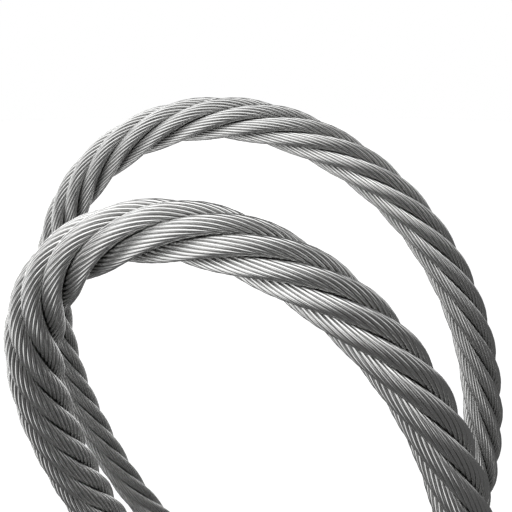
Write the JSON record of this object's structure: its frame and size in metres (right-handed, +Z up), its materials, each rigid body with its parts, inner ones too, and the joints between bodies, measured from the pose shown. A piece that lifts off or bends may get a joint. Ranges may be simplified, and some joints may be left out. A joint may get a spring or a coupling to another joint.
{
  "type": "coil of wire rope",
  "caption": "Loose open coil of stranded steel wire rope, standing on edge, with a broad back turn, a narrower front turn and square-cut ends.",
  "frame": {"origin": "centre of the coil's footprint, on the floor it stands on", "axes": "+Z up, +X to the right as in the picture, +Y from the small front turn towards the large back turn, along the coil's axis"},
  "size_m": [0.1409, 0.1073, 0.2055],
  "materials": {
    "strand_steel": "bright drawn galvanised steel wire, clean, satin with bright glints along the wires",
    "core_steel": "drawn galvanised steel wire, slightly duller, seen only at the cut ends and between strands"
  },
  "bodies": {
    "root": {"strand_1": "strand_steel", "strand_2": "strand_steel", "strand_3": "strand_steel", "strand_4": "strand_steel", "strand_5": "strand_steel", "strand_6": "strand_steel", "core_strand": "core_steel"}
  },
  "joints": []
}
